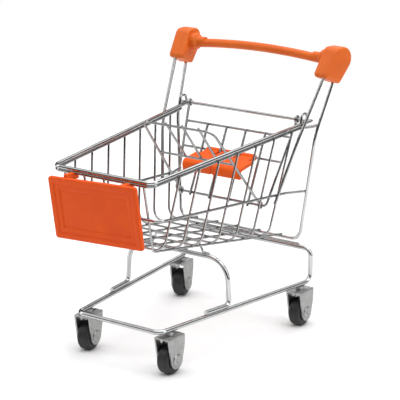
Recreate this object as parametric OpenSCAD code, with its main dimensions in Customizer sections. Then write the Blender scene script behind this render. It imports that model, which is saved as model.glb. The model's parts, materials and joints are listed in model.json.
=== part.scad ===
// Small wire shopping cart: nesting basket on an open base with four swivel casters,
// a rear gate that swings on a pivot bar, and a folding seat hung on the gate.
// Front is -Y, up is +Z, and the floor is z = 0. Left is -X and right is +X.

/* [Overall] */
// Length from the front panel's face to the back of the handle's end caps
cart_length = 163.2; // [150:1:210]
// Height of the rim's centre line at its rear end
rim_height = 118.4; // [105:0.1:140]
// Half width of the rim's centre line at the pivot bar
rim_half_width = 42.3; // [36:0.1:52]

/* [Rim] */
// Diameter of the rim wire
rim_wire = 2.2; // [1.8:0.1:3]
// Distance from the panel's face back to the rim's front wire
rim_setback = 9.4; // [8:0.1:14]
// Length of the rim's straight sides
rim_length = 134.6; // [110:0.1:160]
// Fall of the rim from its rear end to its front, for each millimetre of length
rim_fall = 0.07; // [0:0.002:0.1]
// Narrowing of the rim on each side towards the front, for each millimetre of length
rim_taper = 0.076; // [0.04:0.002:0.1]
// Bend radius of the rim's front corners
rim_bend = 4.5; // [4:0.5:10]
// Diameter of the second wire under the rim
under_wire = 1.8; // [1.4:0.1:2.4]

/* [Basket] */
// Number of U-shaped ribs
rib_count = 7; // [7:1:7]
// Distance from the rim's front wire back to the first rib
rib_start = 21; // [16:0.5:26]
// Distance between ribs along the rim
rib_gap = 15.8; // [13:0.1:18]
// Diameter of a rib
rib_wire = 1.2; // [1:0.1:1.6]
// Forward lean of the ribs, for each millimetre downwards
rib_lean = 0.19; // [0:0.01:0.25]
// Inward slope of the basket's side walls, for each millimetre downwards
wall_slope = 0.125; // [0.05:0.005:0.18]
// Bend radius between a rib's sides and its floor
rib_bend = 7; // [5:0.5:9]
// Depth of the basket's floor below the rim at the rear
basket_depth = 65.6; // [50:0.5:72]
// Fall of the floor towards the rear, for each millimetre of length
floor_fall = 0.148; // [0.1:0.005:0.17]
// Number of lengthwise floor wires
floor_count = 5; // [5:1:5]
// Half width over the lengthwise floor wires at the rear
floor_half_rear = 30; // [24:0.5:32]
// Half width over the lengthwise floor wires at the front
floor_half_front = 24.5; // [18:0.5:26]
// Diameter of a lengthwise floor wire
floor_wire = 1.3; // [1:0.1:1.6]
// Distance that the foot of the basket's front is set back from the rim's front wire
front_slope = 11.5; // [6:0.5:16]
// Depth of the mid wire below the rim at the rear
mid_depth = 38.9; // [30:0.5:44]
// Diameter of the mid wire
mid_wire_size = 1.5; // [1.2:0.1:2]

/* [Base] */
// Diameter of the base frame's wire
base_wire = 2.6; // [2.2:0.1:3.2]
// Height of the base frame's centre line
base_height = 24.5; // [24:0.1:30]
// Distance from the panel's face back to the base frame's front bar
base_setback = 21; // [16:0.5:26]
// Length of the base frame from its front bar to its rear bridge
base_length = 122; // [100:0.5:130]
// Half width of the base frame at its front bar
base_half_front = 28; // [24:0.1:34]
// Half width of the base frame at its rear bridge
base_half_rear = 44.6; // [40:0.1:52]
// Height of the rear bridge above the base frame
bridge_rise = 19; // [14:0.1:22]
// Bend radius of the base frame's rear corners
base_bend = 4.5; // [3.5:0.5:6]
// Bend radius of the base frame's front corners
base_front_bend = 5; // [4:0.5:9]
// Distance from the base frame's front bar to the arch
arch_setback = 53.7; // [40:0.1:70]
// Height of the arch's crossbar above the base frame
arch_rise = 27.7; // [24:0.1:30]
// Bend radius of the arch's shoulders
arch_bend = 13; // [10:0.5:16]
// Length of the arch's feet along the side rails
arch_foot = 18.5; // [12:0.5:24]
// Diameter of the thin saddle wires that carry the basket
saddle_wire = 1.4; // [1.2:0.1:1.8]

/* [Handle] */
// Height of the handle bar's centre at its middle
handle_height = 154.9; // [140:0.1:180]
// Diameter of the handle bar
handle_size = 5.0; // [4:0.1:5.6]
// Rise of the handle bar from its ends to its middle
handle_bow = 3.2; // [0.6:0.1:4]
// Half distance between the centres of the end caps
cap_half_span = 51.9; // [48:0.1:60]
// Width of an end cap
cap_width = 9.4; // [8:0.1:12]
// Angle that each end cap's rear turns outward
cap_toe = 7; // [0:0.5:9]
// Distance from the back of the end caps forward to the handle bar's centre
cap_overhang = 9.8; // [8:0.1:12]
// Diameter of the collar where the bar meets an end cap
collar_size = 9.8; // [8:0.1:11]
// Diameter of the handle's upright wires
upright_wire = 1.8; // [1.6:0.1:2.4]

/* [Front panel] */
// Width of the front panel at its top edge
panel_width = 58.8; // [50:0.5:64]
// Sideways offset of the front panel
panel_shift = 0.7; // [0:0.1:1.5]
// Height of the front panel
panel_height = 34.5; // [28:0.5:40]
// Thickness of the front panel's back plate
panel_plate = 1.6; // [1.2:0.1:2.4]
// Height of the raised frame on the front panel
panel_step = 0.8; // [0.5:0.1:1.2]
// Width of each of the panel's two border bands
panel_border = 3.3; // [2:0.1:4.5]
// Forward tilt of the front panel's top edge, in degrees
panel_tilt = 6.5; // [0:0.5:10]
// Small turn of the front panel in its own plane, in degrees
panel_roll = 2.8; // [0:0.1:3]

/* [Gate] */
// Distance from the rim's rear end forward to the pivot bar
pivot_setback = 6.8; // [5:0.1:9]
// Diameter of the pivot bar
pivot_size = 1.8; // [1.4:0.1:2.2]
// Lean of the closed gate from upright, in degrees
gate_lean = 24.6; // [18:0.2:28]
// Length of the gate from its pivot to its bottom bar
gate_length = 51.8; // [44:0.1:54]
// Half width of the gate at its bottom bar
gate_half_bottom = 31.5; // [28:0.1:34]
// Diameter of the gate's outer wire
gate_wire = 1.5; // [1.2:0.1:1.8]
// Distance from the pivot down to the gate's top bar
gate_top_drop = 10.8; // [7:0.1:12]
// Distance from the pivot down to the gate's middle bar
gate_mid_drop = 25.6; // [22:0.1:30]
// Distance between the gate's upright rods
gate_rod_gap = 13.4; // [11:0.1:15]

/* [Seat] */
// Length of the seat back from its hinge to its top bar
seat_back_length = 64; // [56:0.5:72]
// Lean of the open seat back from upright, in degrees
seat_back_lean = 39.6; // [34:0.2:44]
// Half width of the seat back at its top bar
seat_half_top = 24; // [20:0.1:26]
// Half width of the seat back at its hinge
seat_half_bottom = 27.8; // [25:0.1:28]
// Diameter of the seat back's wires
seat_wire = 1.4; // [1.2:0.1:1.6]
// Distance from the seat back's hinge to its cross bar
seat_cross_at = 36.4; // [30:0.1:38]
// Distance between the seat back's inner rods
seat_rod_gap = 11.1; // [8:0.1:12]
// Sideways offset of the seat back's inner rods
seat_rod_shift = 2.6; // [0:0.1:3]
// Depth of the seat plate from its hinge to its front edge
seat_depth = 21; // [18:0.5:22]
// Width of the seat plate at its front
seat_width = 41; // [34:0.5:44]
// Thickness of the seat plate
seat_plate_size = 1.8; // [1.4:0.1:2]
// Downward slope of the open seat plate towards its front, in degrees
seat_slope = 9; // [4:0.5:14]
// Depth of the rolled lip at the seat plate's front
seat_lip = 6; // [4:0.5:7]

/* [Casters] */
// Diameter of a wheel
wheel_size = 16.4; // [14:0.1:18]
// Width of a wheel
wheel_width = 7.2; // [6:0.1:8]
// Diameter of a wheel's hub
hub_size = 7.4; // [6:0.1:9]
// Diameter of an axle
axle_size = 2; // [1.6:0.1:2.6]
// Diameter of the rivet heads at the axle's ends
rivet_head = 7; // [4:0.1:7.6]
// Radial running clearance of the wheels, casters and hinges
running_gap = 0.08; // [0.03:0.01:0.1]
// Side clearance between a wheel and its fork
side_gap = 0.4; // [0.25:0.05:0.6]
// Thickness of the fork's sheet
fork_sheet = 0.8; // [0.6:0.1:1.2]
// Length of the fork's top plate
fork_length = 14.2; // [12:0.1:17]
// Gap between the wheel and the fork's top plate
fork_headroom = 4.4; // [4:0.1:8]
// Radius of the fork's rounded lower end
fork_end = 4.8; // [3.8:0.1:5.4]
// Distance of the axle behind the swivel's centre
caster_trail = 0.2; // [0:0.1:3]
// Diameter of the caster's king pin
king_pin = 2.4; // [2:0.1:3]
// Distance from the base frame's front bar back to the front casters
caster_front = 9.2; // [8:0.1:14]
// Distance from the base frame's rear bridge forward to the rear casters
caster_rear = 7.4; // [6:0.1:12]
// Distance that each right caster is welded further forward than its left one
caster_stagger = 3; // [0:0.1:4]

/* [Hidden] */
round_wire = 32;
round_bend = 64;
round_part = 48;
chrome = "#c9cbcc";
orange = "#d75523";
handle_orange = "#de6c32";
wheel_black = "#242424";
fork_grey = "#b9bab8";

// Welded wires sink this far into each other
weld = 0.2;
// Bends are this much fatter than the straight wire, as bent wire is
bend_swell = 0.04;
// Straight wire runs this far into its bends
bend_lap = 0.2;

panel_face_y = -cart_length / 2;
rear_y = cart_length / 2;

rim_front_y = panel_face_y + rim_setback;
rim_end_y = rim_front_y + rim_length;
pivot_y = rim_end_y - pivot_setback;

base_front_y = panel_face_y + base_setback;
bridge_y = base_front_y + base_length;
arch_y = base_front_y + arch_setback;

under_drop = (rim_wire + under_wire) / 2 - weld;
wall_offset = (under_wire + rib_wire) / 2 - weld;
mid_offset = (rib_wire + mid_wire_size) / 2 - weld;
rib_top_drop = rim_wire / 2 + 0.3;

function rim_z(y) = rim_height - rim_fall * (pivot_y - y);
function rim_x(y) = rim_half_width - rim_taper * (pivot_y - y);
function floor_z(y) = rim_height - basket_depth + floor_fall * (pivot_y - y);

// Depth of the lengthwise wires' centres below the ribs' centres
floor_drop = (rib_wire + floor_wire) / 2 - weld;

// Depth below the rim, measured down the leaning wall, of the wall's point at y and z
function wall_depth(y, z) = (rim_z(y) - z) / (1 - rim_fall * rib_lean);
// Half width of the wall of ribs at y and z
function wall_x(y, z) = let (depth = wall_depth(y, z))
    rim_x(y + rib_lean * depth) + wall_offset - wall_slope * depth;

rib_y = [for (i = [0:rib_count - 1]) rim_front_y + rib_start + i * rib_gap];
// Where a rib that starts at y on the rim meets the floor
function rib_foot_y(y) = let (drop = rim_z(y) - floor_z(y)) y - rib_lean * drop / (1 - rib_lean * floor_fall);

pivot_z = rim_height + (rim_wire + pivot_size) / 2 - weld;
loop_y = pivot_y - 2.8;
loop_z = floor_z(loop_y) - floor_drop - (upright_wire + floor_wire) / 2 + weld;

handle_y = rear_y - cap_overhang;
handle_end_z = handle_height - handle_bow;
cap_inner = cap_half_span - cap_width / 2;
bar_reach = cap_half_span - 1;
// Height of the bowed bar's centre at x
function bar_z(x) = handle_height - handle_bow * x * x / (bar_reach * bar_reach);

wheel_centre_z = wheel_size / 2;
fork_top_z = wheel_size + fork_headroom + fork_sheet;
fork_outer = wheel_width / 2 + side_gap + fork_sheet;

function base_x(y) = base_half_front + (base_half_rear - base_half_front) * (y - base_front_y) / base_length;
caster_names = ["front_left", "front_right", "rear_left", "rear_right"];
caster_turn = [8.5, 0, 14, 2];
caster_side = [-1, 1, -1, 1];
caster_y = [
    for (i = [0:3])
        (i < 2 ? base_front_y + caster_front : bridge_y - caster_rear) - caster_side[i] * caster_stagger / 2
];

side_names = ["left", "right"];
side_sign = [-1, 1];

// ---- Wire shapes ----

function unit(v) = v / norm(v);
function axes(at, x, y) = let (z = cross(x, y)) [
    [x[0], y[0], z[0], at[0]],
    [x[1], y[1], z[1], at[1]],
    [x[2], y[2], z[2], at[2]],
    [0, 0, 0, 1]
];
// A direction square to v
function beside(v) = unit(cross(abs(v[2]) < 0.9 * norm(v) ? [0, 0, 1] : [1, 0, 0], v));
function turn_at(points, i) =
    acos(unit(points[i] - points[i - 1]) * unit(points[i + 1] - points[i]));
// Length that the bend at a point takes from each of its straights
function bend_cut(points, i, radius) =
    i == 0 || i == len(points) - 1 ? 0 : radius * tan(turn_at(points, i) / 2);

// Straight rod from one point to another
module rod(from, to, size) {
    run = unit(to - from);
    side = beside(run);
    multmatrix(axes(from, side, cross(run, side)))
        cylinder(h = norm(to - from), d = size, $fn = round_wire);
}

// Round bend between two straights that would meet at a corner
module bend(corner, run_in, run_out, radius, size) {
    turn = acos(run_in * run_out);
    centre = corner + unit(run_out - run_in) * radius / cos(turn / 2);
    start = corner - run_in * radius * tan(turn / 2);
    multmatrix(axes(centre, unit(start - centre), run_in))
        rotate_extrude(angle = turn, $fn = round_bend)
            translate([radius, 0])
                circle(d = size + bend_swell, $fn = round_wire);
}

// Bent wire along points, with one radius for each inner point
module wire(points, radii, size) {
    last = len(points) - 1;
    radius = concat([0], radii, [0]);
    for (i = [0:last - 1]) {
        run = unit(points[i + 1] - points[i]);
        from = max(0, bend_cut(points, i, radius[i]) - bend_lap);
        to = max(0, bend_cut(points, i + 1, radius[i + 1]) - bend_lap);
        rod(points[i] + run * from, points[i + 1] - run * to, size);
    }
    for (i = [1:last - 1])
        bend(points[i], unit(points[i] - points[i - 1]), unit(points[i + 1] - points[i]), radius[i], size);
}

// Closed ring of wire whose axis is X
module eye(at, inner_size, size) {
    translate(at)
        rotate([0, 90, 0])
            rotate_extrude($fn = round_part)
                translate([(inner_size + size) / 2, 0])
                    circle(d = size, $fn = round_wire);
}

// A half given for +X and the same points mirrored, joined into one path
function mirrored(half) =
    concat(half, [for (i = [len(half) - 1:-1:0]) [-half[i][0], half[i][1], half[i][2]]]);

// ---- Base ----

module base_frame() {
    top = base_height + bridge_rise;
    color(chrome) {
        wire(
            mirrored([
                [0.1, bridge_y, top],
                [base_half_rear, bridge_y, top],
                [base_half_rear, bridge_y, base_height],
                [base_half_front, base_front_y, base_height]
            ]),
            [base_bend, base_bend, base_front_bend, base_front_bend, base_bend, base_bend],
            base_wire
        );
        rod([-0.3, bridge_y, top], [0.3, bridge_y, top], base_wire + bend_swell);
    }
}

// The arch stands on feet that lie on the side rails
module front_arch() {
    foot_z = base_height + base_wire - weld;
    foot_y = arch_y - arch_foot;
    color(chrome)
        wire(
            mirrored([
                [base_x(foot_y), foot_y, foot_z],
                [base_x(arch_y), arch_y, foot_z],
                [base_x(arch_y) - 1.5, arch_y, base_height + arch_rise]
            ]),
            [3, arch_bend, arch_bend, 3],
            base_wire
        );
}

// Thin wire that lies on a bar and rises in the middle to carry the basket
module saddle(half, at_y, at_z, top_y, top_z, seat_half) {
    color(chrome)
        wire(
            mirrored([
                [half, at_y, at_z],
                [seat_half + 3, at_y, at_z],
                [seat_half, top_y, top_z]
            ]),
            [1.5, 1.5, 1.5, 1.5],
            saddle_wire
        );
}

module arch_saddle() {
    on_arch = base_height + arch_rise + (base_wire + saddle_wire) / 2 - weld;
    under_floor = floor_z(arch_y) - floor_drop - (floor_wire + saddle_wire) / 2 + weld;
    inner_wire = (floor_half_front + floor_half_rear) / 4;
    saddle(inner_wire + 8.5, arch_y, on_arch, arch_y, under_floor, inner_wire + 1);
}

module bridge_saddle() {
    on_bridge = base_height + bridge_rise + (base_wire + saddle_wire) / 2 - weld;
    under_loop = loop_z - (upright_wire + saddle_wire) / 2 + weld;
    saddle(base_half_rear - 8, bridge_y, on_bridge, loop_y, under_loop, 8);
}

// ---- Rim and basket ----

// Points of a wire that runs round the basket at a depth below the rim, from the rear to the middle of the front
function around(drop, grow, end_y) = [
    [rim_x(end_y) + grow, end_y, rim_z(end_y) - drop],
    [rim_x(rim_front_y) + grow, rim_front_y, rim_z(rim_front_y) - drop]
];

module rim() {
    color(chrome) wire(mirrored(around(0, 0, rim_end_y)), [rim_bend, rim_bend], rim_wire);
}

// The under-rim wire turns outwards at the rear to brace the handle's rear uprights
module under_rim() {
    turn_y = pivot_y - 3;
    brace = rear_upright_at(rim_z(pivot_y) - 1);
    color(chrome)
        wire(
            mirrored([
                brace - [upright_wire / 2 - weld, 0, 0],
                [rim_x(pivot_y) + 4, brace[1] - 3.2, rim_z(pivot_y) - 1.6],
                [rim_x(turn_y), turn_y, rim_z(turn_y) - under_drop],
                [rim_x(rim_front_y), rim_front_y, rim_z(rim_front_y) - under_drop]
            ]),
            [3, 3, rim_bend, rim_bend, 3, 3],
            under_wire
        );
}

// Height of the mid wire at y
function mid_z(y) = rim_height - mid_depth + 0.07 * (pivot_y - y);
// Ends of the basket's front face, along the lengthwise wires' centres
face_top = [rim_front_y + (under_wire + floor_wire) / 2 - weld, rim_z(rim_front_y) - rim_wire];
face_foot = [rim_front_y + front_slope, floor_z(rim_front_y + front_slope) - floor_drop];
// Front face of the basket at a height
function face_y(z) = face_top[0]
    + (face_foot[0] - face_top[0]) * (face_top[1] - z) / (face_top[1] - face_foot[1]);

module mid_wire() {
    front = face_y(mid_z(rim_front_y)) - (mid_wire_size + floor_wire) / 2 + weld;
    turn_y = pivot_y - 14;
    brace = rear_upright_at(mid_z(pivot_y));
    color(chrome)
        wire(
            mirrored([
                brace - [upright_wire / 2 - weld, 0, 0],
                [wall_x(turn_y, mid_z(turn_y)) + mid_offset, turn_y, mid_z(turn_y)],
                [wall_x(front, mid_z(front)) + mid_offset, front, mid_z(front)]
            ]),
            [12, 5, 5, 12],
            mid_wire_size
        );
}

// U-shaped rib that leans forward: its sides stand on the floor's slope
module rib(i) {
    top_y = rib_y[i];
    foot_y = rib_foot_y(top_y);
    foot_z = floor_z(foot_y);
    color(chrome)
        wire(
            mirrored([
                [rim_x(top_y) + wall_offset - wall_slope * rib_top_drop, top_y - rib_lean * rib_top_drop,
                    rim_z(top_y) - rib_top_drop],
                [wall_x(foot_y, foot_z), foot_y, foot_z]
            ]),
            [rib_bend, rib_bend],
            rib_wire
        );
}

// Lengthwise wire under the ribs that turns up at the front and ends on the rim
module floor_wire(i) {
    across = 2 * i / (floor_count - 1) - 1;
    color(chrome)
        wire(
            [
                [across * floor_half_rear, loop_y, floor_z(loop_y) - floor_drop],
                [across * floor_half_front, face_foot[0], face_foot[1]],
                [across * (floor_half_front + 2), face_top[0], face_top[1]]
            ],
            [3],
            floor_wire
        );
}

// ---- Handle ----

// Centre of the right rear upright at a height: it leans back above its bend
upright_bend_z = 112;
function rear_upright_at(z) = z > upright_bend_z
    ? [
        48.3 + (cap_half_span + 0.7 - 48.3) * (z - upright_bend_z) / (handle_end_z - upright_bend_z),
        pivot_y + 2.6 + (handle_y + 3.6 - pivot_y - 2.6) * (z - upright_bend_z) / (handle_end_z - upright_bend_z),
        z
    ]
    : [
        48.3 - 6.2 * (upright_bend_z - z) / (upright_bend_z - loop_z),
        pivot_y + 2.6 - 5.4 * (upright_bend_z - z) / (upright_bend_z - loop_z),
        z
    ];

// Rear uprights and the bar under the basket's rear edge, in one wire
module handle_loop() {
    color(chrome)
        wire(
            mirrored([
                rear_upright_at(handle_end_z - 5),
                rear_upright_at(upright_bend_z),
                rear_upright_at(loop_z)
            ]),
            [40, 6, 6, 40],
            upright_wire
        );
}

// Front upright, welded to the side of the mid wire a little above its foot
module front_upright(side) {
    top = [cap_half_span, handle_y - 9.9, handle_height - 7.4];
    middle = [47, pivot_y - 14, upright_bend_z - 1];
    weld_y = pivot_y - 23;
    weld_x = wall_x(weld_y, mid_z(weld_y)) + mid_offset + (mid_wire_size + upright_wire) / 2 - weld;
    welded = [weld_x, weld_y, mid_z(weld_y)];
    foot = welded + 5 * unit(welded - middle);
    color(chrome)
        mirror([side < 0 ? 1 : 0, 0, 0])
            wire([top, middle, foot], [60], upright_wire);
}

// Slightly bowed bar that ends inside the caps
module handle_bar() {
    radius = (bar_reach * bar_reach + handle_bow * handle_bow) / (2 * handle_bow);
    spread = asin(bar_reach / radius);
    color(handle_orange)
        translate([0, handle_y, handle_height - radius])
            rotate([90, 0, 0])
                rotate([0, 0, 90 - spread])
                    rotate_extrude(angle = 2 * spread, $fn = 360)
                        translate([radius, 0])
                            circle(d = handle_size, $fn = round_wire);
}

// End cap: a flat-sided lobe over both uprights, with a collar round the bar
module handle_cap(side) {
    edge = 1.2;
    lobes = [
        [-11.2, -8.9, 1.3],
        [-0.7, -13.2, 1.3],
        [cap_overhang - 7.1, -1.2, 7],
        [-1.4, 1.1, 4.7]
    ];
    color(handle_orange)
        mirror([side < 0 ? 1 : 0, 0, 0]) {
            translate([cap_half_span, handle_y, handle_height])
                rotate([0, 0, -cap_toe])
                    hull()
                        for (lobe = lobes)
                            translate([0, lobe[0], lobe[1]])
                                rotate([0, 90, 0]) {
                                    cylinder(h = cap_width - 2 * edge, r = lobe[2], center = true, $fn = 32);
                                    cylinder(h = cap_width - edge, r = lobe[2] - 0.3 * edge, center = true, $fn = 32);
                                    cylinder(h = cap_width, r = lobe[2] - edge, center = true, $fn = 32);
                                }
            translate([cap_inner + 0.5, handle_y, bar_z(cap_inner) + 1])
                rotate([0, -90, 0])
                    cylinder(h = 4, d1 = collar_size, d2 = collar_size - 0.6, $fn = round_part);
        }
}

// ---- Front panel ----

// Puts the panel's own frame, with its face towards -Y, in front of the rim
module at_panel() {
    centre_z = rim_z(rim_front_y) - 19.3;
    translate([panel_shift, panel_face_y + panel_height / 2 * sin(panel_tilt), centre_z])
        rotate([panel_tilt, 0, 0])
            rotate([0, -panel_roll, 0])
                children();
}

// Upright plate with rounded corners, its front face at y = front
module rounded_plate(width, height, corner, front, thickness) {
    translate([0, front + thickness, 0])
        rotate([90, 0, 0])
            linear_extrude(thickness)
                union() {
                    square([width - 2 * corner, height], center = true);
                    square([width, height - 2 * corner], center = true);
                    for (x = [-1, 1], y = [-1, 1])
                        translate([x * (width / 2 - corner), y * (height / 2 - corner)])
                            circle(r = corner, $fn = round_part);
                }
}

module panel_plate() {
    color(orange)
        at_panel()
            difference() {
                rounded_plate(panel_width, panel_height, 1.6, 0, panel_step + panel_plate);
                for (ring = [1, 2])
                    rounded_plate(
                        panel_width - ring * 2 * panel_border, panel_height - ring * 2 * panel_border,
                        1.6 - ring * 0.4, -1, 1 + ring * panel_step / 2
                    );
            }
}

// Cradles behind the panel that hold the rim's lower front wire
module panel_clips() {
    hook_width = 2.4;
    hook_wall = 1.2;
    slot = under_wire + 0.2;
    below = 5;
    under_z = rim_z(rim_front_y) - under_drop;
    hook_top = rim_wire / 2 + 0.3;
    plate_back = panel_face_y + panel_step + panel_plate - 0.3;
    hook_x = 0.7 * (floor_half_front + 2);
    color(orange)
        for (side = side_sign)
            translate([side * hook_x - hook_width / 2, 0, under_z])
                difference() {
                    translate([0, plate_back, under_drop - below])
                        cube([hook_width, rim_front_y - plate_back + slot / 2 + hook_wall, below - hook_top]);
                    translate([-1, rim_front_y - slot / 2, 0])
                        cube([hook_width + 2, slot, under_drop]);
                    translate([-1, rim_front_y, 0])
                        rotate([0, 90, 0])
                            cylinder(h = hook_width + 2, d = slot, $fn = round_wire);
                }
}

// ---- Gate ----

// The gate's own frame: origin on the pivot bar's axis, the gate hanging down its -Z
module at_gate() {
    translate([0, pivot_y, pivot_z]) rotate([-gate_lean, 0, 0]) children();
}

gate_half_top = rim_half_width - 4.8;
gate_eye = pivot_size + 2 * running_gap;
gate_eye_drop = (gate_eye + gate_wire) / 2;
function gate_x(drop) =
    gate_half_top - (gate_half_top - gate_half_bottom) * max(0, drop - gate_eye_drop) / (gate_length - gate_eye_drop);

module pivot_bar() {
    reach = rim_half_width + rim_wire / 2;
    color(chrome) rod([-reach, pivot_y, pivot_z], [reach, pivot_y, pivot_z], pivot_size);
}

// Hairpin over the pivot bar's end, with both legs welded on the rim
module pivot_bracket(side) {
    leg = 3.6;
    leg_z = rim_z(pivot_y) + rim_wire / 2 - 0.5;
    top_z = pivot_z + (pivot_size + seat_wire) / 2 + 2.2;
    x = side * rim_half_width;
    color(chrome)
        wire(
            [
                [x, pivot_y - leg, leg_z],
                [x, pivot_y - leg * 0.62, top_z],
                [x, pivot_y + leg * 0.62, top_z],
                [x, pivot_y + leg, leg_z]
            ],
            [2, 2],
            seat_wire
        );
}

// Outer wire of the gate, with an eye round the pivot bar at each side
module gate_frame() {
    color(chrome)
        at_gate() {
            wire(
                mirrored([
                    [gate_half_top, 0, -gate_eye_drop],
                    [gate_half_bottom, 0, -gate_length]
                ]),
                [2.4, 2.4],
                gate_wire
            );
            for (side = side_sign)
                eye([side * gate_half_top, 0, 0], gate_eye, gate_wire + bend_swell);
        }
}

// Top and middle bars between the gate's sides
module gate_bars() {
    color(chrome)
        at_gate()
            for (drop = [gate_top_drop, gate_mid_drop])
                rod([-gate_x(drop), 0, -drop], [gate_x(drop), 0, -drop], gate_wire - 0.1);
}

// Upright rods in front of the bars, a little longer than the gate
module gate_rods() {
    ahead = weld - gate_wire;
    color(chrome)
        at_gate()
            for (place = [-1.5:1:1.5])
                rod(
                    [place * gate_rod_gap, ahead, -gate_top_drop + 0.3],
                    [place * gate_rod_gap, ahead, -gate_length - 2],
                    gate_wire
                );
}

// ---- Seat ----

// The seat back's own frame: origin on the gate's bottom bar, the back standing up its +Z
module at_seat_back() {
    at_gate() translate([0, 0, -gate_length]) rotate([gate_lean + seat_back_lean, 0, 0]) children();
}

seat_eye = gate_wire + 2 * running_gap;
seat_eye_rise = (seat_eye + seat_wire) / 2;
function seat_x(rise) = seat_half_bottom
    - (seat_half_bottom - seat_half_top) * (rise - seat_eye_rise) / (seat_back_length - seat_eye_rise);

module seat_back_frame() {
    color(chrome)
        at_seat_back() {
            wire(
                mirrored([
                    [seat_half_bottom, 0, seat_eye_rise],
                    [seat_half_top, 0, seat_back_length]
                ]),
                [5, 5],
                seat_wire
            );
            for (side = side_sign)
                eye([side * seat_half_bottom, 0, 0], seat_eye, seat_wire + bend_swell);
        }
}

// Cross bar, and the inner rods that lap it and the top bar from behind
module seat_back_rods() {
    size = seat_wire - 0.1;
    behind = size - weld;
    color(chrome)
        at_seat_back() {
            rod([-seat_x(seat_cross_at), 0, seat_cross_at], [seat_x(seat_cross_at), 0, seat_cross_at], size);
            for (place = [-1:1]) {
                x = place * seat_rod_gap + seat_rod_shift;
                rod([x, behind, seat_cross_at - 0.9], [x, behind, seat_back_length + 0.4], size);
            }
        }
}

// Plate on the gate's middle bar: two rounded lobes, a rolled front lip and hinge knuckles
module seat_plate() {
    bar_size = gate_wire - 0.1;
    lobe_half = seat_width / 4;
    knuckle = bar_size + 2 * running_gap + 2 * 1.1;
    rod_slot = gate_wire + 0.8;
    slot_depth = 6.4;
    color(orange)
        at_gate()
            translate([0, 0, -gate_mid_drop])
                rotate([gate_lean + seat_slope, 0, 0])
                    difference() {
                        union() {
                            translate([-seat_width / 2 + 4, -seat_depth * 0.55, -seat_plate_size / 2])
                                cube([seat_width - 8, seat_depth * 0.55, seat_plate_size]);
                            for (side = side_sign)
                                translate([side * lobe_half, 0, 0])
                                    seat_lobe(lobe_half);
                            translate([-seat_width / 2 + 4, 0, 0])
                                rotate([0, 90, 0])
                                    cylinder(h = seat_width - 8, d = knuckle, $fn = round_part);
                        }
                        translate([-seat_width, 0, 0])
                            rotate([0, 90, 0])
                                cylinder(h = 2 * seat_width, d = bar_size + 2 * running_gap, $fn = round_part);
                        for (place = [-1.5:1:1.5])
                            translate([place * gate_rod_gap, 0, 0]) {
                                rotate([0, 90, 0])
                                    cylinder(h = rod_slot, d = knuckle + 0.8, center = true, $fn = round_part);
                                translate([-rod_slot / 2, -slot_depth, -seat_plate_size])
                                    cube([rod_slot, slot_depth, 2 * seat_plate_size]);
                            }
                    }
}

// One half of the seat's front: a flat tongue whose end rolls down
module seat_lobe(half) {
    roll = 3;
    gap = 0.6;
    top = seat_plate_size / 2;
    translate([-half + gap, 0, 0])
        rotate([90, 0, 90])
            linear_extrude(2 * (half - gap))
                union() {
                    translate([-seat_depth + roll, -top])
                        square([seat_depth * 0.52, seat_plate_size]);
                    translate([-seat_depth, top - seat_lip])
                        square([seat_plate_size, seat_lip - roll]);
                    translate([-seat_depth + roll, top - roll])
                        intersection() {
                            difference() {
                                circle(r = roll, $fn = round_part);
                                circle(r = roll - seat_plate_size, $fn = round_part);
                            }
                            translate([-roll, 0])
                                square(roll);
                        }
                }
}

// ---- Casters ----

// A caster's own frame: origin on the floor under the king pin, turned to its rest angle
module at_caster(i) {
    translate([caster_side[i] * base_x(caster_y[i]), caster_y[i], 0])
        rotate([0, 0, caster_turn[i]])
            children();
}

// Pin welded under the rail, with a collar above the fork's plate and a head below it
module king_pin(i) {
    rail_bottom = base_height - base_wire / 2;
    shaft_top = rail_bottom + 0.6;
    color(fork_grey)
        at_caster(i) {
            translate([0, 0, fork_top_z - fork_sheet - 1])
                cylinder(h = shaft_top - fork_top_z + fork_sheet + 1, d = king_pin, $fn = round_part);
            translate([0, 0, fork_top_z + 0.15])
                cylinder(h = rail_bottom + 0.3 - fork_top_z - 0.15, d = 4.8, $fn = round_part);
            translate([0, 0, fork_top_z - fork_sheet - 1.15])
                cylinder(h = 1, d = 4, $fn = round_part);
        }
}

// Fork of folded sheet: a top plate, two cheeks and a short tongue at the front
module fork(i) {
    plate_z = fork_top_z - fork_sheet;
    front = -fork_length / 2;
    rear = fork_length / 2;
    axle_at = [caster_trail, wheel_centre_z];
    color(fork_grey)
        at_caster(i) {
            difference() {
                translate([-fork_outer, front, plate_z])
                    cube([2 * fork_outer, fork_length, fork_sheet]);
                translate([0, 0, plate_z - 1])
                    cylinder(h = fork_sheet + 2, d = king_pin + 2 * running_gap, $fn = round_part);
            }
            for (side = side_sign)
                translate([side * (fork_outer - fork_sheet / 2) - fork_sheet / 2, 0, 0])
                    rotate([90, 0, 90])
                        difference() {
                            linear_extrude(fork_sheet) {
                                polygon([
                                    [front, fork_top_z],
                                    [rear, fork_top_z],
                                    [rear, fork_top_z - 4],
                                    [caster_trail + fork_end - 0.02, wheel_centre_z],
                                    [caster_trail, wheel_centre_z],
                                    [caster_trail - fork_end * 0.94, wheel_centre_z + fork_end * 0.3],
                                    [front, fork_top_z - 2]
                                ]);
                                translate(axle_at) circle(r = fork_end, $fn = round_part);
                            }
                            translate([axle_at[0], axle_at[1], -1])
                                cylinder(h = fork_sheet + 2, d = axle_size, $fn = round_part);
                        }
            translate([-2, front - fork_sheet / 2, plate_z - 3])
                cube([4, fork_sheet, 3 + fork_sheet / 2]);
        }
}

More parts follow.
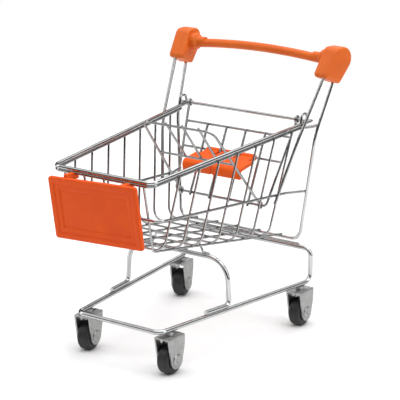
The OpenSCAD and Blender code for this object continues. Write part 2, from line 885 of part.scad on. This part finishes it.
// Rivet through both cheeks, with a low head outside each
module axle(i) {
    head = 0.5;
    color(fork_grey)
        at_caster(i)
            translate([0, caster_trail, wheel_centre_z])
                rotate([0, 90, 0]) {
                    cylinder(h = 2 * fork_outer + 0.02, d = axle_size, center = true, $fn = round_part);
                    for (side = side_sign)
                        translate([0, 0, side * (fork_outer + head / 2)])
                            cylinder(h = head, d = rivet_head, center = true, $fn = round_part);
                }
}

module wheel(i) {
    color(wheel_black)
        at_caster(i)
            translate([0, caster_trail, wheel_centre_z])
                rotate([0, 90, 0])
                    difference() {
                        union() {
                            cylinder(h = wheel_width - 1, d = hub_size, center = true, $fn = round_part);
                            cylinder(h = wheel_width, d = hub_size - 2.4, center = true, $fn = round_part);
                        }
                        cylinder(
                            h = wheel_width + 2, d = axle_size + 2 * running_gap, center = true, $fn = round_part
                        );
                    }
}

// Tyre with a rounded tread
module tyre(i) {
    shoulder = 2;
    half = wheel_width / 2;
    outer = wheel_size / 2;
    color(wheel_black)
        at_caster(i)
            translate([0, caster_trail, wheel_centre_z])
                rotate([0, 90, 0])
                    rotate_extrude($fn = round_bend)
                        intersection() {
                            translate([hub_size / 2, -half])
                                square([outer, wheel_width]);
                            union() {
                                translate([0, -half])
                                    square([outer - shoulder, wheel_width]);
                                translate([0, -half + shoulder])
                                    square([outer, wheel_width - 2 * shoulder]);
                                for (side = side_sign)
                                    translate([outer - shoulder, side * (half - shoulder)])
                                        circle(r = shoulder, $fn = round_part);
                            }
                        }
}

// ---- Drawing ----

base_frame();
front_arch();
arch_saddle();
bridge_saddle();
rim();
under_rim();
mid_wire();
for (i = [1:rib_count])
    rib(i - 1);
for (i = [1:floor_count])
    floor_wire(i - 1);
panel_plate();
panel_clips();
handle_loop();
handle_bar();
for (s = [0, 1]) {
    front_upright(side_sign[s]);
    handle_cap(side_sign[s]);
    pivot_bracket(side_sign[s]);
}
pivot_bar();
for (i = [0:3]) {
    king_pin(i);
    fork(i);
    axle(i);
    wheel(i);
    tyre(i);
}
gate_frame();
gate_bars();
gate_rods();
seat_back_frame();
seat_back_rods();
seat_plate();
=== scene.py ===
import json
from math import atan2, cos, exp, pi, radians, sin, sqrt, tan

import bmesh
import bpy
from mathutils import Matrix, Vector


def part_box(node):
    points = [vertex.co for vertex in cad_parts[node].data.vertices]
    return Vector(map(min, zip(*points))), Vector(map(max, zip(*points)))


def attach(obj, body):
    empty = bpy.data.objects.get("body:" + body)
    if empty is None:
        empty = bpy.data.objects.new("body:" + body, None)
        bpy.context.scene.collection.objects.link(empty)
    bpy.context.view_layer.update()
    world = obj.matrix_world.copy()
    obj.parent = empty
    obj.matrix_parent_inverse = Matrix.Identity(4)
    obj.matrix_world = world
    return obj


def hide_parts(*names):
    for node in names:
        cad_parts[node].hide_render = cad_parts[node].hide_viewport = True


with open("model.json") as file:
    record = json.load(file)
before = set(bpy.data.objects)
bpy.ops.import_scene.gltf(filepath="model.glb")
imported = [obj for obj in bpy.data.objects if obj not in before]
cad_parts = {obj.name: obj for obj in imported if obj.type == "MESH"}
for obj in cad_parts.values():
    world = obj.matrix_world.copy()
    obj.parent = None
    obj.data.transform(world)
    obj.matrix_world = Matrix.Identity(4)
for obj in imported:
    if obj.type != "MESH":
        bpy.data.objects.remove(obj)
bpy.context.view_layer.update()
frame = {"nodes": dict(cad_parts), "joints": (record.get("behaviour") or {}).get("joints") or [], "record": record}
scene = bpy.context.scene
joints = {joint["name"]: joint for joint in frame["joints"]}
casters = ["front_left", "front_right", "rear_left", "rear_right"]
mm = 0.001
print("frame loaded")


def middle(node):
    low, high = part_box(node)
    return (low + high) / 2


# Materials

def newMaterial(name):
    material = bpy.data.materials.new(name)
    material.use_nodes = True
    tree = material.node_tree
    shader = tree.nodes["Principled BSDF"]
    coords = tree.nodes.new("ShaderNodeTexCoord")
    return material, tree, shader, coords.outputs["Object"]


def noiseAt(tree, vector, scale, detail=3.0, rough=0.5, stretch=None):
    if stretch:
        mapping = tree.nodes.new("ShaderNodeMapping")
        mapping.inputs["Scale"].default_value = stretch
        tree.links.new(vector, mapping.inputs["Vector"])
        vector = mapping.outputs["Vector"]
    noise = tree.nodes.new("ShaderNodeTexNoise")
    noise.inputs["Scale"].default_value = scale
    noise.inputs["Detail"].default_value = detail
    noise.inputs["Roughness"].default_value = rough
    tree.links.new(vector, noise.inputs["Vector"])
    return noise.outputs["Fac"]


def rangeOf(tree, value, low, high, fromLow=0.3, fromHigh=0.7):
    node = tree.nodes.new("ShaderNodeMapRange")
    node.inputs["From Min"].default_value = fromLow
    node.inputs["From Max"].default_value = fromHigh
    node.inputs["To Min"].default_value = low
    node.inputs["To Max"].default_value = high
    tree.links.new(value, node.inputs["Value"])
    return node.outputs["Result"]


def blendOf(tree, factor, first, second):
    node = tree.nodes.new("ShaderNodeMix")
    node.data_type = "RGBA"
    tree.links.new(factor, node.inputs["Factor"])
    for socket, value in ((node.inputs[6], first), (node.inputs[7], second)):
        if isinstance(value, tuple):
            socket.default_value = (*value, 1)
        else:
            tree.links.new(value, socket)
    return node.outputs[2]


def bumpOf(tree, height, strength, distance, under=None):
    node = tree.nodes.new("ShaderNodeBump")
    node.inputs["Strength"].default_value = strength
    node.inputs["Distance"].default_value = distance
    tree.links.new(height, node.inputs["Height"])
    if under:
        tree.links.new(under, node.inputs["Normal"])
    return node.outputs["Normal"]


def metalMaterial(name, look):
    material, tree, shader, place = newMaterial(name)
    broad = noiseAt(tree, place, look["broadScale"], 4, 0.6)
    fine = noiseAt(tree, place, look["fineScale"], 3, 0.55, look.get("stretch"))
    specks = noiseAt(tree, place, look["fineScale"] * 2.7, 2)
    stained = blendOf(tree, rangeOf(tree, broad, 0, 1, 0.42, 0.68), look["colour"], look["shade"])
    speckled = blendOf(tree, rangeOf(tree, specks, 0, 0.5, 0.62, 0.8), stained, look["speck"])
    tree.links.new(speckled, shader.inputs["Base Color"])
    tree.links.new(rangeOf(tree, fine, *look["roughness"]), shader.inputs["Roughness"])
    waves = bumpOf(tree, broad, look["wave"], 0.12 * mm)
    tree.links.new(bumpOf(tree, fine, look["grain"], 0.03 * mm, waves), shader.inputs["Normal"])
    shader.inputs["Metallic"].default_value = look["metallic"]
    shader.inputs["Specular Tint"].default_value = (*look["rim"], 1)
    return material


def plasticMaterial(name, look):
    material, tree, shader, place = newMaterial(name)
    cloud = noiseAt(tree, place, look["cloudScale"], 3, 0.5)
    streak = noiseAt(tree, place, look["cloudScale"] * 3, 4, 0.6, (1, 0.3, 1))
    grain = noiseAt(tree, place, look["grainScale"], 2, 0.5)
    geometry = tree.nodes.new("ShaderNodeNewGeometry")
    # painted edge highlight: the sharpest convex edges (Pointiness) are blended towards the lighter colour,
    # standing in for light catching them
    paintedEdgeHighlight = rangeOf(tree, geometry.outputs["Pointiness"], 0, look["edgeHighlight"], 0.52, 0.6)
    swirled = blendOf(tree, rangeOf(tree, cloud, 0, 1), look["colour"], look["shade"])
    streaked = blendOf(tree, rangeOf(tree, streak, 0, 0.35, 0.5, 0.75), swirled, look["light"])
    tree.links.new(blendOf(tree, paintedEdgeHighlight, streaked, look["light"]), shader.inputs["Base Color"])
    tree.links.new(rangeOf(tree, streak, *look["roughness"]), shader.inputs["Roughness"])
    soft = bumpOf(tree, cloud, 0.25, 0.2 * mm)
    tree.links.new(bumpOf(tree, grain, look["grain"], 0.04 * mm, soft), shader.inputs["Normal"])
    shader.inputs["Metallic"].default_value = 0
    shader.inputs["IOR"].default_value = 1.49
    shader.inputs["Specular IOR Level"].default_value = look.get("gloss", 0.5)
    return material


chrome = metalMaterial("chrome", {
    "colour": (0.6, 0.61, 0.61), "shade": (0.5, 0.51, 0.51), "speck": (0.34, 0.34, 0.34),
    "broadScale": 130, "fineScale": 1900, "roughness": (0.06, 0.14),
    "wave": 0.2, "grain": 0.08, "metallic": 1, "rim": (0.3, 0.3, 0.31),
})
thinChrome = metalMaterial("thinChrome", {
    "colour": (0.44, 0.44, 0.44), "shade": (0.34, 0.34, 0.34), "speck": (0.22, 0.22, 0.22),
    "broadScale": 210, "fineScale": 2600, "roughness": (0.08, 0.18),
    "wave": 0.2, "grain": 0.1, "metallic": 1, "rim": (0.25, 0.25, 0.26),
})
zinc = metalMaterial("zincPlate", {
    "colour": (0.42, 0.425, 0.42), "shade": (0.34, 0.345, 0.34), "speck": (0.24, 0.245, 0.24),
    "broadScale": 340, "fineScale": 2200, "stretch": (1, 1, 0.12), "roughness": (0.26, 0.38),
    "wave": 0.12, "grain": 0.25, "metallic": 0.9, "rim": (0.5, 0.5, 0.5),
})
orange = plasticMaterial("orangePlastic", {
    "colour": (0.82, 0.09, 0.003), "shade": (0.76, 0.076, 0.003), "light": (0.87, 0.12, 0.006),
    "cloudScale": 55, "grainScale": 3600, "grain": 0.3, "edgeHighlight": 0.6, "roughness": (0.42, 0.56), "gloss": 0.2,
})
handleOrange = plasticMaterial("handlePlastic", {
    "colour": (0.78, 0.145, 0.01), "shade": (0.72, 0.122, 0.008), "light": (0.83, 0.19, 0.02),
    "cloudScale": 80, "grainScale": 3200, "grain": 0.35, "edgeHighlight": 0.6, "roughness": (0.42, 0.56),
    "gloss": 0.35,
})
rubber = plasticMaterial("tyreRubber", {
    "colour": (0.0135, 0.014, 0.0145), "shade": (0.0095, 0.01, 0.0105), "light": (0.03, 0.031, 0.032),
    "cloudScale": 260, "grainScale": 4200, "grain": 0.5, "edgeHighlight": 0.3, "roughness": (0.42, 0.62),
})
hubPlastic = plasticMaterial("hubPlastic", {
    "colour": (0.02, 0.02, 0.021), "shade": (0.014, 0.014, 0.015), "light": (0.04, 0.04, 0.042),
    "cloudScale": 300, "grainScale": 3800, "grain": 0.35, "edgeHighlight": 0.3, "roughness": (0.34, 0.5),
})
print("materials made")

thickWires = (
    "base_frame", "front_arch", "arch_saddle", "bridge_saddle", "rim", "handle_loop", "pivot_bar",
)
for nodeName, node in frame["nodes"].items():
    if nodeName.startswith(("panel_", "seat_plate")):
        finish = orange
    elif nodeName.startswith("handle_") and nodeName != "handle_loop":
        finish = handleOrange
    elif nodeName.startswith(("fork_", "axle_", "king_pin")):
        finish = zinc
    elif nodeName.startswith("tyre_"):
        finish = rubber
    elif nodeName.startswith("wheel_"):
        finish = hubPlastic
    else:
        finish = chrome if nodeName in thickWires else thinChrome
    node.data.materials.clear()
    node.data.materials.append(finish)


# Mesh helpers

def finishPiece(name, bm, material, body, sharp=38):
    bmesh.ops.remove_doubles(bm, verts=bm.verts, dist=1e-7)
    bmesh.ops.recalc_face_normals(bm, faces=bm.faces)
    mesh = bpy.data.meshes.new(name)
    bm.to_mesh(mesh)
    bm.free()
    for face in mesh.polygons:
        face.use_smooth = True
    mesh.set_sharp_from_angle(angle=radians(sharp))
    mesh.materials.append(material)
    piece = bpy.data.objects.new(name, mesh)
    scene.collection.objects.link(piece)
    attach(piece, body)
    return piece


def soften(piece, width, segments=3, angle=40):
    bevel = piece.modifiers.new("edges", "BEVEL")
    bevel.width = width
    bevel.segments = segments
    bevel.limit_method = "ANGLE"
    bevel.angle_limit = radians(angle)


def loft(bm, rings):
    # a closed outline drawn out through the other rings, one by one
    start = [bm.verts.new(point) for point in rings[0]]
    face = bm.faces.new(start)
    for ring in rings[1:]:
        face = bmesh.ops.extrude_discrete_faces(bm, faces=[face])["faces"][0]
        for corner, point in zip(face.verts, ring):
            corner.co = point
    bm.faces.new(start)


def turned(bm, profile, place, segments=48, hollow=False):
    # profile is (radius, along) pairs, spun about the place's own x axis
    points = [bm.verts.new(place @ Vector((along, radius, 0))) for radius, along in profile]
    edges = [bm.edges.new(pair) for pair in zip(points, points[1:])]
    if hollow:
        edges.append(bm.edges.new((points[-1], points[0])))
    bmesh.ops.spin(
        bm, geom=points + edges, cent=place.translation, axis=place.to_3x3().col[0],
        angle=2 * pi, steps=segments, use_merge=True,
    )
    if not hollow:
        bmesh.ops.holes_fill(bm, edges=[edge for edge in bm.edges if edge.is_boundary])


def filleted(corners, steps=6):
    # corners are (u, v, radius), in order round a closed outline
    points = []
    for k, (u, v, radius) in enumerate(corners):
        here = Vector((u, v))
        before = (Vector(corners[k - 1][:2]) - here).normalized()
        after = (Vector(corners[(k + 1) % len(corners)][:2]) - here).normalized()
        half = before.angle(after) / 2
        centre = here + (before + after).normalized() * radius / sin(half)
        start = here + before * radius / tan(half) - centre
        end = here + after * radius / tan(half) - centre
        turn = atan2(start.x * end.y - start.y * end.x, start.dot(end))
        for step in range(steps + 1):
            a = turn * step / steps
            spoke = Vector((start.x * cos(a) - start.y * sin(a), start.x * sin(a) + start.y * cos(a)))
            points.append(centre + spoke)
    return points


def roundedHull(circles, steps=56):
    # the outline round several (u, v, radius) circles, counter-clockwise
    cloud = sorted(
        (u + r * cos(2 * pi * k / steps), v + r * sin(2 * pi * k / steps))
        for u, v, r in circles for k in range(steps)
    )

    def chain(points):
        kept = []
        for p in points:
            while len(kept) > 1 and (kept[-1][0] - kept[-2][0]) * (p[1] - kept[-2][1]) <= \
                    (kept[-1][1] - kept[-2][1]) * (p[0] - kept[-2][0]):
                kept.pop()
            kept.append(p)
        return kept[:-1]

    return [Vector(p) for p in chain(cloud) + chain(cloud[::-1])]


def inset(points, distance):
    moved = []
    for k, point in enumerate(points):
        along = points[(k + 1) % len(points)] - points[k - 1]
        moved.append(point + Vector((-along.y, along.x)).normalized() * distance)
    return moved


# Front panel

panelLook = {
    "width": 58.8 * mm, "height": 34.5 * mm, "corner": 1.4 * mm, "leastCorner": 0.2 * mm, "roll": 2.8,
    "proud": 0.8 * mm, "clipEdge": 0.25 * mm,
    "steps": [  # in from the edge and back from the face, both in millimetres
        (0.25, 2.35), (0.05, 2.1), (0.0, 1.7), (0.03, 0.65), (0.12, 0.34), (0.3, 0.14), (0.6, 0.03),
        (1.0, 0.0), (2.2, 0.02), (2.95, 0.05), (3.14, 0.12), (3.26, 0.26), (3.34, 0.42), (3.5, 0.48),
        (4.6, 0.43), (6.1, 0.4), (6.42, 0.46), (6.56, 0.6), (6.66, 0.82), (6.82, 0.9), (7.4, 0.86),
        (9.5, 0.8), (13.0, 0.76),
    ],
}
signMount = frame["record"]["mounts"][0]
outward = Vector(signMount["axis"]).normalized()
panelBack = -outward
panelUp = Vector((1, 0, 0)).cross(panelBack).normalized()
panelOrigin = Vector(signMount["pos_m"]) + outward * panelLook["proud"]
basis = Matrix((Vector((1, 0, 0)), panelBack, panelUp)).transposed().to_4x4()
panelPlace = Matrix.Translation(panelOrigin) @ basis @ Matrix.Rotation(radians(-panelLook["roll"]), 4, "Y")
halfWide, halfHigh = panelLook["width"] / 2, panelLook["height"] / 2


def panelRing(distance, depth):
    keep = max(panelLook["leastCorner"], panelLook["corner"] - distance * 0.35)
    w, h = halfWide - distance, halfHigh - distance
    ring = filleted([(-w, -h, keep), (w, -h, keep), (w, h, keep), (-w, h, keep)], 8)
    return [panelPlace @ Vector((p.x, depth, p.y)) for p in ring]


bm = bmesh.new()
loft(bm, [panelRing(distance * mm, depth * mm) for distance, depth in panelLook["steps"]])
frontPanel = finishPiece("frontPanel", bm, orange, "cart", 50)
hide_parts("panel_plate")
soften(frame["nodes"]["panel_clips"], panelLook["clipEdge"])
print("front panel made")


# Handle caps and collars

capLook = {
    "width": 9.4 * mm, "round": 1.7 * mm, "toe": 7, "barRadius": 2.5 * mm, "uprightRadius": 0.9 * mm,
    "lobes": [  # u, v and radius of the circles that the outline runs round
        (-10.9, -8.4, 2.1), (-1.3, -12.4, 2.1), (2.7, -1.2, 6.92), (-1.4, 1.1, 4.7),
    ],
    "innerEdge": [(0, 0.9), (0.1, 0.55), (0.35, 0.22), (0.8, 0.03)],
    "partLine": [(2.6, 0), (2.68, 0.09), (2.86, 0.09), (2.94, 0)],
    "collarDrop": 1.6 * mm, "collarTilt": -5,
    "collar": [
        (5.2, -1.6), (5.2, 0.3), (4.98, 0.7), (4.9, 1.2), (4.88, 3.0), (4.76, 3.5), (4.4, 3.95),
        (3.9, 4.25), (3.4, 4.45), (3.05, 4.75), (2.88, 5.3), (2.74, 6.4), (2.62, 8.0), (2.5, 9.6),
        (1.8, 9.7),
    ],
}
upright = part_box("front_upright_right")[1].x - capLook["uprightRadius"]
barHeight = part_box("handle_bar")[1].z - capLook["barRadius"]
shape = roundedHull([(u * mm, v * mm, r * mm) for u, v, r in capLook["lobes"]])
inner, outer = -capLook["width"] / 2, capLook["width"] / 2
rings = [(inner + x * mm, cut) for x, cut in capLook["innerEdge"] + capLook["partLine"]]
for step in range(9):  # the outer edge's rounding
    a = pi / 2 * step / 8
    rings.append((outer - capLook["round"] * (1 - sin(a)), capLook["round"] / mm * (1 - cos(a))))
for side, word in ((-1, "left"), (1, "right")):
    at = Vector((side * upright, middle("handle_bar").y, barHeight))
    place = Matrix.Translation(at) @ Matrix.Rotation(radians(-side * capLook["toe"]), 4, "Z")
    bm = bmesh.new()
    loft(bm, [[place @ Vector((side * x, p.x, p.y)) for p in inset(shape, cut * mm)] for x, cut in rings])
    at = Vector((side * (upright + inner), at.y, barHeight - capLook["collarDrop"]))
    place = Matrix.Translation(at) @ Matrix.Rotation(pi if side > 0 else 0, 4, "Z") @ \
        Matrix.Rotation(radians(capLook["collarTilt"]), 4, "Y")
    turned(bm, [(r * mm, along * mm) for r, along in capLook["collar"]], place)
    piece = finishPiece("handleCap" + word.title(), bm, handleOrange, "cart", 44)
    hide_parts("handle_cap_" + word)
print("handle caps made")


# Casters

casterLook = {
    "outer": 4.9 * mm, "sheet": 0.9 * mm, "bend": 0.75 * mm, "half": 7.1 * mm, "end": 4.95 * mm,
    "axle": 0.2 * mm, "frontDrop": 0.9 * mm, "rearDrop": 3.0 * mm, "columns": 12, "edge": 0.16 * mm,
    "tongue": {"half": 1.7 * mm, "drop": 2.9 * mm, "round": 0.4 * mm},
    "lips": [(-7.45, 0.12), (-7.38, 0.0), (-6.75, 0.0), (-6.68, 0.12)],
    "rivetRadius": 1.02,
    "rivetHead": [  # radius and height off the cheek
        (0.1, 0.3), (0.6, 0.34), (0.95, 0.46), (1.25, 0.62), (1.9, 0.7), (2.5, 0.68), (2.95, 0.58),
        (3.3, 0.4), (3.5, 0.16), (3.42, 0.02), (3.42, -0.3),
    ],
    "hub": [
        (1.12, -3.5, 0.15), (2.0, -3.5, 0.2), (2.2, -3.0, 0.15), (2.7, -3.0, 0.15), (2.8, -3.4, 0.1),
        (3.25, -3.4, 0.1), (3.25, 3.4, 0.1), (2.8, 3.4, 0.1), (2.7, 3.0, 0.15), (2.2, 3.0, 0.15),
        (2.0, 3.5, 0.2), (1.12, 3.5, 0.15),
    ],
    "groove": {"at": 1.5, "depth": 0.1, "width": 0.16, "rim": 0.6},
}


def forkSpan(z, top, axleZ):
    # how far the cheek reaches forward and back at height z
    look = casterLook
    if z <= axleZ:
        reach = sqrt(max(look["end"] ** 2 - (axleZ - z) ** 2, (0.12 * look["end"]) ** 2))
        return look["axle"] - reach, look["axle"] + reach
    frontShare = min(1, (z - axleZ) / (top - look["frontDrop"] - axleZ))
    rearShare = min(1, (z - axleZ) / (top - look["rearDrop"] - axleZ))
    front = look["axle"] - look["end"] - (look["half"] + look["axle"] - look["end"]) * frontShare
    rear = look["axle"] + look["end"] + (look["half"] - look["axle"] - look["end"]) * sin(pi / 2 * rearShare)
    return front, rear


def forkPath(depth, top, axleZ):
    # half of the bent sheet's line from the middle of its top down one cheek
    look = casterLook
    half, high, bend = look["outer"] - depth, top - depth, look["bend"] - depth
    line = []
    for step in range(17):
        x = (half - bend) * step / 16
        groove = 0.34 * mm * exp(-((x - 3.0 * mm) / (0.5 * mm)) ** 2)
        line.append((x, high - groove, top))
    for step in range(1, 7):
        a = pi / 2 * step / 6
        line.append((half - bend + bend * sin(a), high - bend + bend * cos(a), top))
    foot = axleZ - look["end"] * 0.99
    for step in range(1, 21):
        share = 1 - (1 - step / 20) ** 1.5 if step > 10 else step / 20 * 0.6464 / 0.5
        z = (high - bend) + (foot - high + bend) * share
        line.append((half, z, z))
    return line


for caster in casters:
    body, roller = "caster_" + caster, "roller_" + caster
    pin = middle("king_pin_" + caster)
    axis = Vector(joints["spin_" + caster]["axis"]).normalized()
    hub = Vector(joints["spin_" + caster]["pos_m"])
    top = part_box("fork_" + caster)[1].z
    forward = Vector((0, 0, 1)).cross(axis)
    turn = Matrix((axis, forward, Vector((0, 0, 1)))).transposed().to_4x4()
    plate = Matrix.Translation((pin.x, pin.y, 0)) @ turn
    wheelPlace = Matrix.Translation(hub) @ turn

    bm = bmesh.new()
    columns = casterLook["columns"]
    rows = []
    for depth in (0, casterLook["sheet"]):
        half = forkPath(depth, top, hub.z)
        line = [(-x, z, zEdge) for x, z, zEdge in half[:0:-1]] + half
        rows.append([])
        for x, z, zEdge in line:
            front, rear = forkSpan(zEdge, top, hub.z)
            across = [front + (rear - front) * c / columns for c in range(columns + 1)]
            rows[-1].append([plate @ Vector((x, y, z)) for y in across])
    loft(bm, [outside + inside[::-1] for outside, inside in zip(*rows)])
    lip = casterLook["tongue"]
    tongue = filleted([
        (-lip["half"], top - 0.1 * mm, 0.05 * mm), (0, top - lip["drop"], lip["round"]),
        (lip["half"], top - 0.1 * mm, 0.05 * mm),
    ], 4)
    loft(bm, [
        [plate @ Vector((p.x, y * mm, p.y)) for p in inset(tongue, cut * mm)] for y, cut in casterLook["lips"]
    ])
    fork = finishPiece("forkSheet_" + caster, bm, zinc, body, 40)
    soften(fork, casterLook["edge"], 2, 50)
    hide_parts("fork_" + caster)

    reach, heads, shank = casterLook["outer"] / mm, casterLook["rivetHead"], casterLook["rivetRadius"]
    profile = [(r, -reach - x) for r, x in heads] + [(shank, -reach - 0.02), (shank, reach + 0.02)]
    profile += [(r, reach + x) for r, x in reversed(heads)]
    bm = bmesh.new()
    turned(bm, [(r * mm, x * mm) for r, x in profile], wheelPlace)
    rivet = finishPiece("rivet_" + caster, bm, zinc, body, 42)
    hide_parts("axle_" + caster)

    low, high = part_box("tyre_" + caster)
    radius = (high.z - low.z) / 2 / mm
    groove = casterLook["groove"]
    tread = filleted([
        (3.3, -3.45, 0.3), (6.7, -3.6, 0.9), (radius, -2.5, 1.5),
        (radius, 2.5, 1.5), (6.7, 3.6, 0.9), (3.3, 3.45, 0.3),
    ], 7)
    profile = []
    for p in tread:  # two fine grooves near the tread's shoulders
        cut = groove["depth"] * exp(-((abs(p.y) - groove["at"]) / groove["width"]) ** 2)
        profile.append(((p.x - cut * (p.x > radius - groove["rim"])) * mm, p.y * mm))
    bm = bmesh.new()
    turned(bm, profile, wheelPlace, 96, hollow=True)
    tyre = finishPiece("tyreTread_" + caster, bm, rubber, roller, 50)
    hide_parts("tyre_" + caster)

    bm = bmesh.new()
    turned(bm, [(p.x * mm, p.y * mm) for p in filleted(casterLook["hub"], 3)], wheelPlace, hollow=True)
    wheel = finishPiece("wheelHub_" + caster, bm, hubPlastic, roller, 40)
    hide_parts("wheel_" + caster)
    soften(frame["nodes"]["king_pin_" + caster], 0.12 * mm, 2)
print("casters made")

soften(frame["nodes"]["seat_plate"], 0.35 * mm)


# Stage, light and camera

focus = Vector((0, 0, 0.07))


def addLight(name, place, size, power):
    data = bpy.data.lights.new(name, "AREA")
    data.shape = "RECTANGLE"
    data.size, data.size_y = size
    data.energy = power
    light = bpy.data.objects.new(name, data)
    light.location = place
    light.rotation_mode = "QUATERNION"
    light.rotation_quaternion = (focus - Vector(place)).to_track_quat("-Z", "Y")
    scene.collection.objects.link(light)


bm = bmesh.new()
bmesh.ops.create_circle(bm, cap_ends=True, segments=96, radius=0.75)
mesh = bpy.data.meshes.new("floor")
bm.to_mesh(mesh)
bm.free()
floor = bpy.data.objects.new("floor", mesh)
scene.collection.objects.link(floor)
paper, tree, shader, place = newMaterial("floorPaper")
tone = rangeOf(tree, noiseAt(tree, place, 40, 2), 0, 1)
tree.links.new(blendOf(tree, tone, (0.93, 0.93, 0.93), (0.91, 0.91, 0.91)), shader.inputs["Base Color"])
shader.inputs["Roughness"].default_value = 0.9
shader.inputs["Specular IOR Level"].default_value = 0.1
mesh.materials.append(paper)

world = bpy.data.worlds.new("studio")
scene.world = world
world.use_nodes = True
tree = world.node_tree
tree.nodes.clear()
coords = tree.nodes.new("ShaderNodeTexCoord")
split = tree.nodes.new("ShaderNodeSeparateXYZ")
tree.links.new(coords.outputs["Generated"], split.inputs["Vector"])
ramp = tree.nodes.new("ShaderNodeValToRGB")
# a dark band at the horizon gives the polished wires their dark streaks
stops = [(0.0, 0.3), (0.4, 0.25), (0.5, 0.03), (0.64, 0.03), (0.7, 0.25), (0.8, 1.0), (1.0, 1.3)]
while len(ramp.color_ramp.elements) < len(stops):
    ramp.color_ramp.elements.new(0.5)
for element, (position, level) in zip(ramp.color_ramp.elements, stops):
    element.position = position
    element.color = (level, level, level, 1)
height = tree.nodes.new("ShaderNodeMapRange")
height.inputs["From Min"].default_value = -1
tree.links.new(split.outputs["Z"], height.inputs["Value"])
tree.links.new(height.outputs["Result"], ramp.inputs["Fac"])
paleSky = tree.nodes.new("ShaderNodeBackground")
paleSky.inputs["Color"].default_value = (1, 1, 1, 1)
studioSky = tree.nodes.new("ShaderNodeBackground")
studioSky.inputs["Strength"].default_value = 0.86
tree.links.new(ramp.outputs["Color"], studioSky.inputs["Color"])
rays = tree.nodes.new("ShaderNodeLightPath")
choose = tree.nodes.new("ShaderNodeMixShader")
tree.links.new(rays.outputs["Is Camera Ray"], choose.inputs["Fac"])
tree.links.new(studioSky.outputs["Background"], choose.inputs[1])
tree.links.new(paleSky.outputs["Background"], choose.inputs[2])
output = tree.nodes.new("ShaderNodeOutputWorld")
tree.links.new(choose.outputs["Shader"], output.inputs["Surface"])

addLight("topSoftbox", (0.1, 0.1, 1.1), (1.3, 1.3), 7.6)
addLight("leftSoftbox", (-1.1, -0.5, 0.55), (0.35, 0.8), 3.4)
addLight("rightSoftbox", (1.15, 0.25, 0.5), (0.35, 0.8), 3.4)
addLight("backSoftbox", (-0.3, 1.3, 0.6), (1.0, 0.4), 2.6)

cameraLook = {
    "azimuth": 36.11, "elevation": 15.7, "distance": 0.9645, "target": (0, 0.0144, 0.0761), "lens": 153.95,
}
a, e = radians(cameraLook["azimuth"]), radians(cameraLook["elevation"])
away = Vector((sin(a) * cos(e), -cos(a) * cos(e), sin(e)))
cameraData = bpy.data.cameras.new("camera")
cameraData.lens = cameraLook["lens"]
cameraData.sensor_width = 36
cameraData.clip_start, cameraData.clip_end = 0.01, 50
camera = bpy.data.objects.new("camera", cameraData)
camera.location = Vector(cameraLook["target"]) + away * cameraLook["distance"]
camera.rotation_mode = "QUATERNION"
camera.rotation_quaternion = (-away).to_track_quat("-Z", "Y")
scene.collection.objects.link(camera)
scene.camera = camera
scene.view_settings.view_transform = "Standard"
print("stage, light and camera made")
